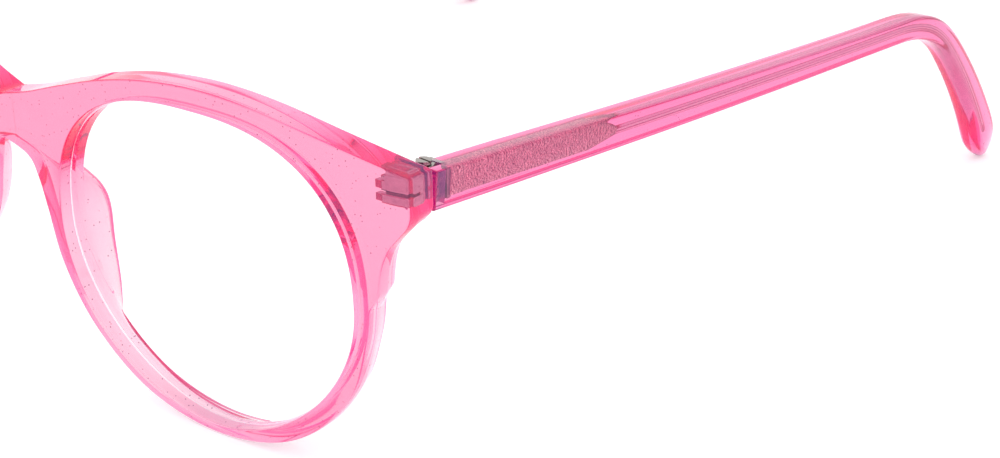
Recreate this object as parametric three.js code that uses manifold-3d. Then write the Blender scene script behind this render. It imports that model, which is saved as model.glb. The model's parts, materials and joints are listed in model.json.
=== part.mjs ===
// Spectacles in clear pink acetate: a slim panto-shaped front, two blue light
// lenses held in a groove, bonded nose pads, and two temples that fold on
// five-knuckle hinges. A metal core runs inside each temple, its front end
// flattened into a plate that meets the hinge.
//
// Millimetres. +X is the wearer's left, -Y is the way the wearer looks, +Z is up.
// The glasses stand open on their rims and temple tips, on the plane z = 0.
// The front is drawn flat first, as (x, depth, height): depth grows backwards
// from the front face. bowFront() then bends it round the face and leans it.

import * as THREE from 'three';
import Module from 'manifold-3d';
import { mergeVertices } from 'three/addons/utils/BufferGeometryUtils.js';

const wasm = await Module();
wasm.setup();

// ---------------------------------------------------------------- dimensions

// Lens opening: a superellipse, fuller above its centre than below it.
const OPENING = { x: 35.8, height: 23.3, nasal: 25.4, temporal: 22.4, up: 20.8, down: 22.0 };
const OPENING_POWER = { upper: 2.45, lower: 1.86 };

// Front plate.
const FRONT_THICKNESS = 4.0;
const FRONT_ROUNDING = 0.3;
const FACE_RADIUS = 272;
const FRONT_LEAN = THREE.MathUtils.degToRad(1.66);
const FOOT_TRIM = 0.15;
const REAR_BEVEL = { inset: 0.8, top: 37.5, fade: 4 };

// Outer outline of the wearer's left half, in the flat front plane.
const BRIDGE_TOP = 37.9;
const BRIDGE_UNDERSIDE = 31.5;
const BROW = { x: 37.0, height: 47.2 };
const END_PIECE = { x: 66.5, top: 42.4, bottom: 37.6 };
const STEP = { x: 61.8, top: 26.3, inner: 60.65, bottom: 24.1 };
const RIM_BOTTOM = { x: 36.5, height: -FOOT_TRIM };

// Lens and its groove.
const GROOVE_DEPTH = 0.6;
const GROOVE_WIDTH = 1.4;
const GROOVE_CENTRE = 1.9;
const LENS_THICKNESS = 1.6;
const LENS_TONGUE = 0.8;
const GAP = 0.3;

// Nose pads: crowned forms bonded behind the nasal rims.
const PAD = { x: 9.8, depth: 4.1, height: 19.8, halfWidth: 2.1, reach: 3.3, halfHeight: 10.2 };
const PAD_TILT = 0.02;
const PAD_LEAN = -0.38;
const PAD_BOW = 0.024;
const PAD_FLARE = 0.52;

// Hinge: the pivot stands upright beside the temple's front end.
const PIVOT = { x: 63.2, y: 12.7 };
const HINGE_MIDDLE = 39.75;
const KNUCKLE_RADIUS = 1.25;
const FRONT_KNUCKLE = 0.95;
const TEMPLE_KNUCKLE = 0.55;
const KNUCKLE_GAP = 0.15;
const PIN_RADIUS = 0.5;
const PIN_HOLE_RADIUS = 0.58;
const SCREW_HEAD = { radius: 0.95, height: 0.4, slotWidth: 0.3, slotDepth: 0.22 };
const NECK_WIDTH = 1.7;

// Anchor of the front hinge, inside the end piece, in flat front coordinates.
const ANCHOR = { tip: 60.9, nasal: 61.8, temporal: 65.1, front: 1.8, plateFront: 3.0, back: 3.7 };
const LOWER_LUG = { low: 38.2, high: 39.4 };
const UPPER_LUG = { low: 39.8, tip: 41.1, high: 41.9 };
const LUG_ROUNDING = 0.15;
const LUG_TAPER = 0.4;
const POCKET_GAP = 0.2;
const POCKET = { low: 37.7, high: UPPER_LUG.high + POCKET_GAP };
const NECK_LENGTH = 3.6;

// Temple: a centre line whose heading changes along its length.
const TEMPLE_START = { x: 64.55, y: 11.33, z: 39.65 };
const TEMPLE_LENGTH = 151.3;
const TOE_IN = 2.2;
const TIP_TOE_IN = 7.0;
const SLOPE = 5.3;
const SLOPE_EASING = 1.5;
const DROP = 42;
const TIP_DROP = 14;
const EASE_FROM = 30;
const BEND_FROM = 100.5;
const BEND_LENGTH = 24;
const TEMPLE_THICKNESS = 3.8;
const TEMPLE_HEIGHTS = [[0, 5.0], [13, 4.9], [51, 4.2], [93, 3.4], [104, 3.5], [119, 4.1], [144, 6.3]];
const TEMPLE_ROUNDING = 0.45;
const TIP_ROUND = 6.3;
const TIP_END_SCALE = 0.32;

// Core of the temple: plate behind the hinge, then a wire that runs nearly to the tip.
const HINGE_BLOCK = { from: 3.45, to: 5.2, halfThickness: 0.6, low: -1.3, high: 1.6 };
const CORE_PLATE = { from: 5.5, shoulder: 27.5, to: 34.5, halfThickness: 0.5, low: -1.3, high: 1.75 };
const CORE_PLATE_END = 0.3;
const CORE_WIRE = { to: 145.5, radius: 0.55 };
const CORE_ROUNDING = 0.15;
const HINGE_NOTCH = { outer: 64.8, back: 15.0 };
const HINGE_RISER = { outer: 64.55, front: 14.15, back: 14.75 };

// How far a cutting block reaches past what it cuts, and a joined part into its neighbour.
const BEYOND = 200;
const OVERLAP = 0.2;

// ------------------------------------------------------------------- helpers

const radians = THREE.MathUtils.degToRad;
const smoothstep = THREE.MathUtils.smoothstep;

function solid(geometry) {
  const bare = geometry.index ? geometry.toNonIndexed() : geometry.clone();
  bare.deleteAttribute('normal');
  bare.deleteAttribute('uv');
  const merged = mergeVertices(bare, 1e-4);
  return new wasm.Manifold(new wasm.Mesh({
    numProp: 3,
    vertProperties: new Float32Array(merged.attributes.position.array),
    triVerts: new Uint32Array(merged.index.array),
  }));
}

function geometryOf(body) {
  const mesh = body.getMesh();
  const geometry = new THREE.BufferGeometry();
  geometry.setAttribute('position', new THREE.BufferAttribute(new Float32Array(mesh.vertProperties), 3));
  geometry.setIndex(new THREE.BufferAttribute(new Uint32Array(mesh.triVerts), 1));
  return geometry;
}

// Moves every point of a geometry by a function of its place.
function reshape(geometry, move) {
  const place = geometry.attributes.position;
  const point = new THREE.Vector3();
  for (let i = 0; i < place.count; i += 1) {
    point.fromBufferAttribute(place, i);
    move(point);
    place.setXYZ(i, point.x, point.y, point.z);
  }
  return geometry;
}

// Splits every edge longer than a limit, the same way in both of its triangles.
function refine(body, longest) {
  const mesh = body.getMesh();
  const points = [];
  for (let i = 0; i < mesh.vertProperties.length; i += 3) {
    points.push(new THREE.Vector3().fromArray(mesh.vertProperties, i));
  }
  let triangles = [];
  for (let i = 0; i < mesh.triVerts.length; i += 3) {
    triangles.push([mesh.triVerts[i], mesh.triVerts[i + 1], mesh.triVerts[i + 2]]);
  }
  let split = true;
  while (split) {
    split = false;
    const middles = new Map();
    const middle = (a, b) => {
      if (points[a].distanceTo(points[b]) <= longest) return -1;
      const key = a < b ? `${a},${b}` : `${b},${a}`;
      if (!middles.has(key)) {
        middles.set(key, points.length);
        points.push(points[a].clone().lerp(points[b], 0.5));
      }
      return middles.get(key);
    };
    const next = [];
    for (const corners of triangles) {
      const cuts = corners.map((corner, i) => middle(corner, corners[(i + 1) % 3]));
      const count = cuts.filter((cut) => cut >= 0).length;
      if (count === 0) {
        next.push(corners);
        continue;
      }
      split = true;
      if (count === 3) {
        next.push([corners[0], cuts[0], cuts[2]], [cuts[0], corners[1], cuts[1]]);
        next.push([cuts[2], cuts[1], corners[2]], cuts);
        continue;
      }
      const first = count === 1 ? cuts.findIndex((cut) => cut >= 0) : (cuts.findIndex((cut) => cut < 0) + 1) % 3;
      const [a, b, c] = [0, 1, 2].map((i) => corners[(first + i) % 3]);
      const ab = cuts[first];
      if (count === 1) {
        next.push([a, ab, c], [ab, b, c]);
      } else {
        const bc = cuts[(first + 1) % 3];
        next.push([ab, b, bc], [a, ab, bc], [a, bc, c]);
      }
    }
    triangles = next;
  }
  const geometry = new THREE.BufferGeometry();
  geometry.setAttribute('position', new THREE.Float32BufferAttribute(points.flatMap((p) => p.toArray()), 3));
  geometry.setIndex(triangles.flat());
  return geometry;
}

function mirrored(body) {
  return body.mirror([1, 0, 0]);
}

function box(x0, x1, y0, y1, z0, z1) {
  const geometry = new THREE.BoxGeometry(x1 - x0, y1 - y0, z1 - z0);
  geometry.translate((x0 + x1) / 2, (y0 + y1) / 2, (z0 + z1) / 2);
  return solid(geometry);
}

function uprightCylinder(radius, x, y, z0, z1, sides = 16) {
  const geometry = new THREE.CylinderGeometry(radius, radius, z1 - z0, sides);
  geometry.rotateX(Math.PI / 2);
  geometry.translate(x, y, (z0 + z1) / 2);
  return solid(geometry);
}

// A shape drawn in x and height, given thickness from one depth to another.
function plateGeometry(shape, from, to, rounding = 0, steps = 1) {
  const geometry = new THREE.ExtrudeGeometry(shape, {
    depth: to - from - 2 * rounding,
    steps,
    bevelEnabled: rounding > 0,
    bevelThickness: rounding,
    bevelSize: rounding,
    bevelOffset: -rounding,
    bevelSegments: 1,
    curveSegments: 3,
  });
  geometry.rotateX(Math.PI / 2);
  return geometry.translate(0, to - rounding, 0);
}

// A shape drawn in x and y, given thickness from one height to another.
function slab(shape, from, to) {
  const geometry = new THREE.ExtrudeGeometry(shape, { depth: to - from, bevelEnabled: false });
  geometry.translate(0, 0, from);
  return solid(geometry);
}

// Bends flat front coordinates round the face, then leans the top forward.
function bowFront(body, longest = 9) {
  return solid(reshape(refine(body, longest), (point) => {
    const depth = point.y + (point.x * point.x) / (2 * FACE_RADIUS);
    const height = point.z;
    point.y = depth * Math.cos(FRONT_LEAN) - height * Math.sin(FRONT_LEAN);
    point.z = height * Math.cos(FRONT_LEAN) + depth * Math.sin(FRONT_LEAN);
  }));
}

const floorCutter = box(-BEYOND, BEYOND, -BEYOND, BEYOND, -BEYOND, 0);

// --------------------------------------------------------------------- front

// Point on the lens opening, or on a copy of it grown by an amount.
function openingPoint(angle, grow = 0) {
  const across = Math.cos(angle);
  const along = Math.sin(angle);
  const power = along > 0 ? OPENING_POWER.upper : OPENING_POWER.lower;
  const halfWidth = (across > 0 ? OPENING.temporal : OPENING.nasal) + grow;
  const halfHeight = (along > 0 ? OPENING.up : OPENING.down) + grow;
  const sum = Math.abs(across / halfWidth) ** power + Math.abs(along / halfHeight) ** power;
  const reach = sum ** (-1 / power);
  return new THREE.Vector2(OPENING.x + reach * across, OPENING.height + reach * along);
}

function openingPoints(grow = 0, count = 44) {
  return Array.from({ length: count }, (_, i) => openingPoint((2 * Math.PI * i) / count, grow));
}

// Outline of the left half, from the bridge's top over the brow and round the
// rim to the bridge's underside: smooth runs that meet at corners.
function halfOutline() {
  const point = (x, height) => new THREE.Vector2(x, height);
  const brow = [
    point(0, BRIDGE_TOP), point(5.5, 39.5), point(12, 41.9), point(20, 44.6), point(28, 46.4),
    point(BROW.x, BROW.height), point(46, 46.5), point(56, 44.6), point(END_PIECE.x, END_PIECE.top),
  ];
  const endPiece = [
    point(END_PIECE.x, END_PIECE.bottom), point(66.0, 36.1), point(64.5, 34.2), point(63.2, 32.4),
    point(62.3, 29.8), point(STEP.x, STEP.top),
  ];
  const rim = [
    point(STEP.inner, STEP.bottom), point(59.95, 19.5), point(57.5, 12.2), point(52.4, 5.7), point(45.4, 1.5),
    point(RIM_BOTTOM.x, RIM_BOTTOM.height), point(27.9, 1.1), point(20.7, 4.1), point(13.9, 9.7),
    point(9.5, 16.6), point(7.5, 23.6), point(6.2, 27.8), point(4.6, 30.3), point(0, BRIDGE_UNDERSIDE),
  ];
  return [brow, endPiece, rim].flatMap((run) => new THREE.SplineCurve(run).getPoints(run.length * 2));
}

function frontShape() {
  const left = halfOutline();
  const right = left.slice(1, -1).reverse().map((p) => new THREE.Vector2(-p.x, p.y));
  const shape = new THREE.Shape([...left, ...right]);
  for (const side of [1, -1]) {
    const points = openingPoints().map((p) => new THREE.Vector2(side * p.x, p.y));
    shape.holes.push(new THREE.Path(side > 0 ? points : points.reverse()));
  }
  return shape;
}

function openingPlate(grow, from, to) {
  return solid(plateGeometry(new THREE.Shape(openingPoints(grow)), from, to));
}

// Takes the rear outer edge of the lower rim inwards, as a long back bevel.
function bevelRearEdge(point) {
  const side = Math.sign(point.x);
  const across = Math.abs(point.x) - OPENING.x;
  const along = point.z - OPENING.height;
  const reach = Math.hypot(across, along);
  const rim = openingPoint(Math.atan2(along, across)).distanceTo({ x: OPENING.x, y: OPENING.height });
  const low = smoothstep(REAR_BEVEL.top - point.z, 0, REAR_BEVEL.fade);
  const outer = reach > rim + REAR_BEVEL.inset ? 1 : 0;
  const behind = point.y > FRONT_THICKNESS / 2 + FRONT_ROUNDING ? 1 : 0;
  const pull = (REAR_BEVEL.inset * low * outer * behind) / reach;
  point.x -= side * across * pull;
  point.z -= along * pull;
}

function anchorPocket() {
  return box(
    ANCHOR.tip - POCKET_GAP, ANCHOR.temporal + POCKET_GAP, ANCHOR.front - POCKET_GAP, 2 * FRONT_THICKNESS,
    POCKET.low, POCKET.high,
  );
}

function frontFrame() {
  const blank = plateGeometry(frontShape(), 0, FRONT_THICKNESS, FRONT_ROUNDING, 2);
  let body = solid(reshape(blank, bevelRearEdge));
  const groove = openingPlate(GROOVE_DEPTH, GROOVE_CENTRE - GROOVE_WIDTH / 2, GROOVE_CENTRE + GROOVE_WIDTH / 2);
  const pocket = anchorPocket();
  for (const cut of [groove, mirrored(groove), pocket, mirrored(pocket)]) body = body.subtract(cut);
  return bowFront(body).subtract(floorCutter);
}

function lens() {
  const half = LENS_THICKNESS / 2;
  const tongue = LENS_TONGUE / 2;
  const body = openingPlate(-GAP, GROOVE_CENTRE - half, GROOVE_CENTRE + half);
  const edge = openingPlate(GROOVE_DEPTH - GAP, GROOVE_CENTRE - tongue, GROOVE_CENTRE + tongue);
  return bowFront(body.add(edge), 12);
}

function nosePad() {
  const geometry = new THREE.SphereGeometry(1, 20, 14);
  geometry.scale(PAD.halfWidth, PAD.reach, PAD.halfHeight);
  reshape(geometry, (point) => {
    point.y *= 1 + PAD_TILT * point.z;
    point.x += PAD.x + PAD_LEAN * point.z + PAD_BOW * point.z ** 2 + PAD_FLARE * point.y;
    point.y += PAD.depth;
    point.z += PAD.height;
  });
  const plateSpace = box(-BEYOND, BEYOND, -BEYOND, FRONT_THICKNESS + GAP, -BEYOND, BEYOND);
  return bowFront(solid(geometry).subtract(plateSpace));
}

// -------------------------------------------------------------------- hinges

// Heights of the five knuckles, from the bottom up: temple, front, temple, front, temple.
function knuckleHeights() {
  const sizes = [TEMPLE_KNUCKLE, FRONT_KNUCKLE, TEMPLE_KNUCKLE, FRONT_KNUCKLE, TEMPLE_KNUCKLE];
  const total = sizes.reduce((sum, size) => sum + size, 0) + KNUCKLE_GAP * (sizes.length - 1);
  let low = HINGE_MIDDLE - total / 2;
  return sizes.map((size) => {
    const span = [low, low + size];
    low += size + KNUCKLE_GAP;
    return span;
  });
}

function knuckle([low, high]) {
  return uprightCylinder(KNUCKLE_RADIUS, PIVOT.x, PIVOT.y, low, high);
}

function pinHole() {
  return uprightCylinder(PIN_HOLE_RADIUS, PIVOT.x, PIVOT.y, 0, 2 * HINGE_MIDDLE);
}

// The lower embedded lug's block, seen from the front.
function lowerLug() {
  const middle = (ANCHOR.nasal + ANCHOR.temporal) / 2;
  const shape = new THREE.Shape();
  shape.moveTo(ANCHOR.temporal, LOWER_LUG.low);
  shape.lineTo(ANCHOR.temporal, LOWER_LUG.high);
  shape.lineTo(ANCHOR.nasal, LOWER_LUG.high);
  shape.lineTo(ANCHOR.nasal, LOWER_LUG.low);
  shape.quadraticCurveTo(middle, LOWER_LUG.low - LUG_ROUNDING, ANCHOR.temporal, LOWER_LUG.low);
  return shape;
}

// The upper lug's block: taller, with a round shoulder that hooks over a notch.
function upperLug() {
  const middle = (ANCHOR.nasal + ANCHOR.temporal) / 2;
  const shape = new THREE.Shape();
  shape.moveTo(ANCHOR.temporal, UPPER_LUG.low);
  shape.lineTo(ANCHOR.temporal, UPPER_LUG.high - LUG_TAPER);
  shape.quadraticCurveTo(ANCHOR.temporal, UPPER_LUG.high, ANCHOR.temporal - LUG_TAPER, UPPER_LUG.high);
  shape.lineTo(ANCHOR.nasal + 2 * LUG_TAPER, UPPER_LUG.high);
  shape.quadraticCurveTo(ANCHOR.nasal, UPPER_LUG.high, ANCHOR.nasal, UPPER_LUG.high - LUG_TAPER);
  shape.lineTo(ANCHOR.nasal + LUG_TAPER, UPPER_LUG.tip);
  shape.lineTo(ANCHOR.nasal, UPPER_LUG.tip);
  shape.lineTo(ANCHOR.nasal, UPPER_LUG.low);
  shape.quadraticCurveTo(middle, UPPER_LUG.low - LUG_ROUNDING, ANCHOR.temporal, UPPER_LUG.low);
  return shape;
}

// A lug: its block, and a nasal tip whose front slopes back.
function anchorLug(shape, tipLow, tipHigh) {
  const back = ANCHOR.back - OVERLAP;
  const block = solid(plateGeometry(shape, ANCHOR.front, back, LUG_ROUNDING));
  const plan = new THREE.Shape();
  plan.moveTo(ANCHOR.nasal + OVERLAP, ANCHOR.front + LUG_ROUNDING);
  plan.lineTo(ANCHOR.nasal + OVERLAP, back - LUG_ROUNDING);
  plan.lineTo(ANCHOR.tip, back - LUG_ROUNDING);
  plan.lineTo(ANCHOR.tip, ANCHOR.front + LUG_TAPER);
  return block.add(slab(plan, tipLow + LUG_ROUNDING, tipHigh - LUG_ROUNDING));
}

function frontHinge() {
  const plate = box(
    ANCHOR.nasal, ANCHOR.temporal - LUG_ROUNDING, ANCHOR.plateFront, ANCHOR.back,
    LOWER_LUG.low + LUG_ROUNDING, UPPER_LUG.high - LUG_ROUNDING,
  );
  const lower = anchorLug(lowerLug(), LOWER_LUG.low, LOWER_LUG.high);
  const upper = anchorLug(upperLug(), UPPER_LUG.low, UPPER_LUG.tip);
  let body = bowFront(plate.add(lower).add(upper));
  const spans = knuckleHeights();
  for (const span of [spans[1], spans[3]]) {
    const neck = box(
      PIVOT.x - NECK_WIDTH / 2, PIVOT.x + NECK_WIDTH / 2, PIVOT.y - NECK_LENGTH, PIVOT.y, span[0], span[1],
    );
    body = body.add(neck).add(knuckle(span));
  }
  return body.subtract(pinHole());
}

function hingeScrew() {
  const spans = knuckleHeights();
  const top = spans[4][1] + KNUCKLE_GAP;
  const shank = uprightCylinder(PIN_RADIUS, PIVOT.x, PIVOT.y, spans[0][0], top + OVERLAP);
  const head = uprightCylinder(SCREW_HEAD.radius, PIVOT.x, PIVOT.y, top, top + SCREW_HEAD.height);
  const slot = box(
    PIVOT.x - BEYOND, PIVOT.x + BEYOND, PIVOT.y - SCREW_HEAD.slotWidth / 2, PIVOT.y + SCREW_HEAD.slotWidth / 2,
    top + SCREW_HEAD.height - SCREW_HEAD.slotDepth, top + BEYOND,
  );
  return shank.add(head).subtract(slot);
}

// ------------------------------------------------------------------- temples

// The centre line, walked in short steps: at each one a place and a heading.
const STEP_LENGTH = 0.5;
const centreLine = (() => {
  const stations = [];
  const place = new THREE.Vector3(TEMPLE_START.x, TEMPLE_START.y, TEMPLE_START.z);
  for (let s = 0; s <= TEMPLE_LENGTH + STEP_LENGTH; s += STEP_LENGTH) {
    const bend = smoothstep(s, BEND_FROM, BEND_FROM + BEND_LENGTH);
    const ease = THREE.MathUtils.clamp((s - EASE_FROM) / (BEND_FROM - EASE_FROM), 0, 1);
    const tip = THREE.MathUtils.clamp((s - BEND_FROM - BEND_LENGTH) / BEND_LENGTH, 0, 1);
    const slope = radians(SLOPE - SLOPE_EASING * ease + DROP * bend + TIP_DROP * tip);
    const toeIn = radians(TOE_IN + (TIP_TOE_IN - TOE_IN) * bend);
    const heading = new THREE.Vector3(
      -Math.sin(toeIn) * Math.cos(slope), Math.cos(toeIn) * Math.cos(slope), -Math.sin(slope),
    );
    const outward = new THREE.Vector3(Math.cos(toeIn), Math.sin(toeIn), 0);
    stations.push({ place: place.clone(), heading, outward, up: outward.clone().cross(heading) });
    place.addScaledVector(heading, STEP_LENGTH);
  }
  return stations;
})();

// Carries a point from (outward, along the temple, upward) to its place in space.
function alongTemple(point) {
  const s = THREE.MathUtils.clamp(point.y, 0, TEMPLE_LENGTH);
  const index = Math.floor(s / STEP_LENGTH);
  const { place, heading, outward, up } = centreLine[index];
  const sideways = point.x;
  const upwards = point.z;
  const onward = point.y - index * STEP_LENGTH;
  point.copy(place).addScaledVector(heading, onward);
  point.addScaledVector(outward, sideways).addScaledVector(up, upwards);
}

function templeHeight(s) {
  const after = TEMPLE_HEIGHTS.findIndex(([at]) => at >= s);
  if (after < 0) return TEMPLE_HEIGHTS[TEMPLE_HEIGHTS.length - 1][1];
  if (after === 0) return TEMPLE_HEIGHTS[0][1];
  const [s0, h0] = TEMPLE_HEIGHTS[after - 1];
  const [s1, h1] = TEMPLE_HEIGHTS[after];
  return h0 + ((h1 - h0) * (s - s0)) / (s1 - s0);
}

function tipScale(s) {
  const into = THREE.MathUtils.clamp((s - TEMPLE_LENGTH + TIP_ROUND) / TIP_ROUND, 0, 1);
  return TIP_END_SCALE + (1 - TIP_END_SCALE) * Math.sqrt(1 - into * into);
}

// A rectangle with rounded corners, drawn in (outward, upward).
function roundedSection(halfWidth, low, high, rounding) {
  const shape = new THREE.Shape();
  const quarter = Math.PI / 2;
  shape.absarc(halfWidth - rounding, high - rounding, rounding, 0, quarter);
  shape.absarc(-halfWidth + rounding, high - rounding, rounding, quarter, 2 * quarter);
  shape.absarc(-halfWidth + rounding, low + rounding, rounding, 2 * quarter, 3 * quarter);
  shape.absarc(halfWidth - rounding, low + rounding, rounding, 3 * quarter, 4 * quarter);
  return shape;
}

// Evenly spaced distances along the temple, both ends included.
function evenly(from, to, steps) {
  return Array.from({ length: steps + 1 }, (_, i) => from + ((to - from) * i) / steps);
}

// A section carried along the temple, with one ring at each listed distance.
function sweep(shape, distances, size = () => [1, 1], curveSegments = 2) {
  const steps = distances.length - 1;
  const geometry = new THREE.ExtrudeGeometry(shape, { depth: steps, steps, bevelEnabled: false, curveSegments });
  geometry.rotateX(Math.PI / 2);
  geometry.translate(0, steps, 0);
  return solid(reshape(geometry, (point) => {
    point.y = distances[Math.round(point.y)];
    const [wide, tall] = size(point.y);
    point.x *= wide;
    point.z *= tall;
    alongTemple(point);
  }));
}

function corePlateScale(s) {
  const into = THREE.MathUtils.clamp((s - CORE_PLATE.shoulder) / (CORE_PLATE.to - CORE_PLATE.shoulder), 0, 1);
  return [1, 1 - (1 - CORE_PLATE_END) * into];
}

function corePlate(grow) {
  const shape = roundedSection(
    CORE_PLATE.halfThickness + grow, CORE_PLATE.low - grow, CORE_PLATE.high + grow, CORE_ROUNDING + grow / 2,
  );
  const distances = [CORE_PLATE.from - grow, CORE_PLATE.shoulder, CORE_PLATE.to + grow];
  return sweep(shape, distances, corePlateScale, 1);
}

function coreRod(grow) {
  const shape = new THREE.Shape();
  shape.absarc(0, 0, CORE_WIRE.radius + grow, 0, 2 * Math.PI);
  const distances = [
    ...evenly(CORE_PLATE.shoulder, BEND_FROM, 4), ...evenly(BEND_FROM, BEND_FROM + BEND_LENGTH, 8).slice(1),
    ...evenly(BEND_FROM + BEND_LENGTH, CORE_WIRE.to + grow, 3).slice(1),
  ];
  return sweep(shape, distances, () => [1, 1], 4);
}

function coreWire(grow = 0) {
  return corePlate(grow).add(coreRod(grow));
}

function hingeBlock(grow = 0) {
  const shape = roundedSection(
    HINGE_BLOCK.halfThickness + grow, HINGE_BLOCK.low - grow, HINGE_BLOCK.high + grow, CORE_ROUNDING + grow / 2,
  );
  return sweep(shape, [HINGE_BLOCK.from - grow, HINGE_BLOCK.to + grow], () => [1, 1], 1);
}

function temple() {
  const half = TEMPLE_THICKNESS / 2;
  const rounded = roundedSection(half, -half, half, TEMPLE_ROUNDING);
  const size = (s) => [tipScale(s), (templeHeight(s) / TEMPLE_THICKNESS) * tipScale(s)];
  const tip = TEMPLE_LENGTH - TIP_ROUND;
  const rounding = evenly(0, Math.PI / 2, 5).slice(1).map((angle) => tip + TIP_ROUND * Math.sin(angle));
  const distances = [
    ...evenly(0, EASE_FROM, 2), ...evenly(EASE_FROM, BEND_FROM, 4).slice(1),
    ...evenly(BEND_FROM, BEND_FROM + BEND_LENGTH, 10).slice(1),
    ...evenly(BEND_FROM + BEND_LENGTH, tip, 5).slice(1), ...rounding,
  ];
  let body = sweep(rounded, distances, size, 2);
  const notch = box(0, HINGE_NOTCH.outer, 0, HINGE_NOTCH.back, 0, BEYOND);
  for (const cut of [notch, hingeBlock(GAP), coreWire(GAP), floorCutter]) body = body.subtract(cut);
  return body;
}

function templeHinge() {
  const spans = knuckleHeights();
  const inner = PIVOT.x - NECK_WIDTH / 2;
  const riser = box(
    inner, HINGE_RISER.outer, HINGE_RISER.front, HINGE_RISER.back, spans[0][0], spans[4][1],
  );
  let body = hingeBlock().add(riser);
  for (const span of [spans[0], spans[2], spans[4]]) {
    const neck = box(inner, inner + NECK_WIDTH, PIVOT.y, HINGE_RISER.back, span[0], span[1]);
    body = body.add(neck).add(knuckle(span));
  }
  return body.subtract(pinHole());
}

// ------------------------------------------------------------------ assembly

const PINK = 0xf8a3c8;
const acetate = { color: PINK, roughness: 0.08, metalness: 0, transparent: true, opacity: 0.55 };
const lensTint = { color: 0xf4f7ff, roughness: 0.02, metalness: 0, transparent: true, opacity: 0.2 };
const silver = { color: 0xc4c0c2, roughness: 0.28, metalness: 1 };

const glasses = new THREE.Group();

function addPiece(name, body, look) {
  const mesh = new THREE.Mesh(geometryOf(body), new THREE.MeshStandardMaterial(look));
  mesh.name = name;
  glasses.add(mesh);
}

function addPair(name, body, look) {
  addPiece(`${name}_left`, body, look);
  addPiece(`${name}_right`, mirrored(body), look);
}

addPiece('front_frame', frontFrame(), acetate);
addPair('lens', lens(), lensTint);
addPair('nose_pad', nosePad(), acetate);
addPair('front_hinge', frontHinge(), silver);
addPair('hinge_screw', hingeScrew(), silver);
addPair('temple', temple(), acetate);
addPair('temple_hinge', templeHinge(), silver);
addPair('core_wire', coreWire(), silver);

// The origin is the middle of the footprint, on the surface the glasses stand on.
const bounds = new THREE.Box3().setFromObject(glasses);
glasses.position.y = -(bounds.min.y + bounds.max.y) / 2;

export default glasses;
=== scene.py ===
"""Looks of a pair of blue light glasses in clear pink acetate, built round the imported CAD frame."""

import json
import math

import bmesh
import bpy
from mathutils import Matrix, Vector


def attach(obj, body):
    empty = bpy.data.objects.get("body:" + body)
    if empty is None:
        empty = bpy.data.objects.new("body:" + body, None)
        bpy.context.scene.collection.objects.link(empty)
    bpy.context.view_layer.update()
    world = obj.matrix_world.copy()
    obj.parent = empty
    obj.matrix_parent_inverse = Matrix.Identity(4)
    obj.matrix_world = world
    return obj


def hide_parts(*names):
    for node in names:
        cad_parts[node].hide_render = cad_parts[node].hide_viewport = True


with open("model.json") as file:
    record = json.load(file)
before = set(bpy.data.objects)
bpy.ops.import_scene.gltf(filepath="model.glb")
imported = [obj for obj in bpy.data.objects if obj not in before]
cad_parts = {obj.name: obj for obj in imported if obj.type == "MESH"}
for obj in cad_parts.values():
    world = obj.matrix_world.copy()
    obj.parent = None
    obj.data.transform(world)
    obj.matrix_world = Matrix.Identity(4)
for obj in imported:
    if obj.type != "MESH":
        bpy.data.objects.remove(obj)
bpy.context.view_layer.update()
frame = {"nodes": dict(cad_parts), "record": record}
record = frame["record"]

MM = 0.001

# ------------------------------------------------------------------ dimensions
# The design frame is in millimetres: x from the middle, depth or y back from the bridge's
# front face, height from the floor. The left hinge's pivot ties it to the CAD frame.

PIVOT = Vector(record["behaviour"]["joints"][0]["pos_m"])
PIVOT_DEPTH = 12.7
BACKWARD = PIVOT.y - PIVOT_DEPTH * MM

OPENING_X = 35.8
OPENING_HEIGHT = 23.3
OPENING_NASAL = 25.4
OPENING_TEMPORAL = 22.4
OPENING_UP = 20.8
OPENING_DOWN = 22.0
OPENING_POWER_UPPER = 2.45
OPENING_POWER_LOWER = 1.86

THICKNESS = 3.99
SETBACK = 0.01
FACE_RADIUS = 272.0
FRONT_LEAN = math.radians(1.66)
EDGE = 0.22
WALL_KNEE = 1.5
SUPPORT = EDGE + 0.06
WALL_KNEE_SPAN = 0.15
REAR_EDGE_LEAST = 0.02
REAR_INSET = 0.95
REAR_INSET_TOP = 38.0
REAR_INSET_FADE = 5.0
REAR_INSET_FROM_X = 4.0
REAR_INSET_FULL_X = 10.0
REAR_INSET_EASE = 0.06
INNER_BEVEL = 0.95
INNER_BEVEL_TOP = 14.0
INNER_BEVEL_FADE = 6.0

BRIDGE_TOP = 37.9
BRIDGE_UNDERSIDE = 31.5
BROW_RUN = [
    (0, BRIDGE_TOP), (5.5, 39.5), (12, 41.9), (20, 44.6), (28, 46.4),
    (37.0, 47.16), (46, 46.5), (56, 44.6), (66.5, 42.4),
]
SIDE_RUN = [(66.5, 42.4), (66.5, 37.6)]
END_RUN = [(66.5, 37.6), (66.0, 36.1), (64.5, 34.2), (63.2, 32.4), (62.3, 29.8), (61.8, 26.3)]
STEP_RUN = [(61.8, 26.3), (60.65, 24.1)]
RIM_RUN = [
    (60.65, 24.1), (59.95, 19.5), (57.5, 12.2), (52.4, 5.7), (45.4, 1.5), (36.5, 0.0), (27.9, 1.1),
    (20.7, 4.1), (13.9, 9.7), (9.5, 16.6), (7.5, 23.6), (6.2, 27.8), (4.6, 30.3), (0, BRIDGE_UNDERSIDE),
]
OUTLINE_SPACING = 0.9
CORNER = 0.35
CORNER_STEPS = (0, 0.25, 0.5, 0.75, 1)
MIDDLE_STEPS = 8
FACE_STEPS = (0, 0.08, 0.22, 0.4, 0.6, 0.78, 0.92, 1)
REAR_STEPS = 14
QUARTER = [math.radians(degrees) for degrees in (30, 60, 90)]

ANGLE_PASSES = 60

GROOVE_FRONT = 1.5
GROOVE_REAR = 2.5
GROOVE_DEPTH = 0.3

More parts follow.
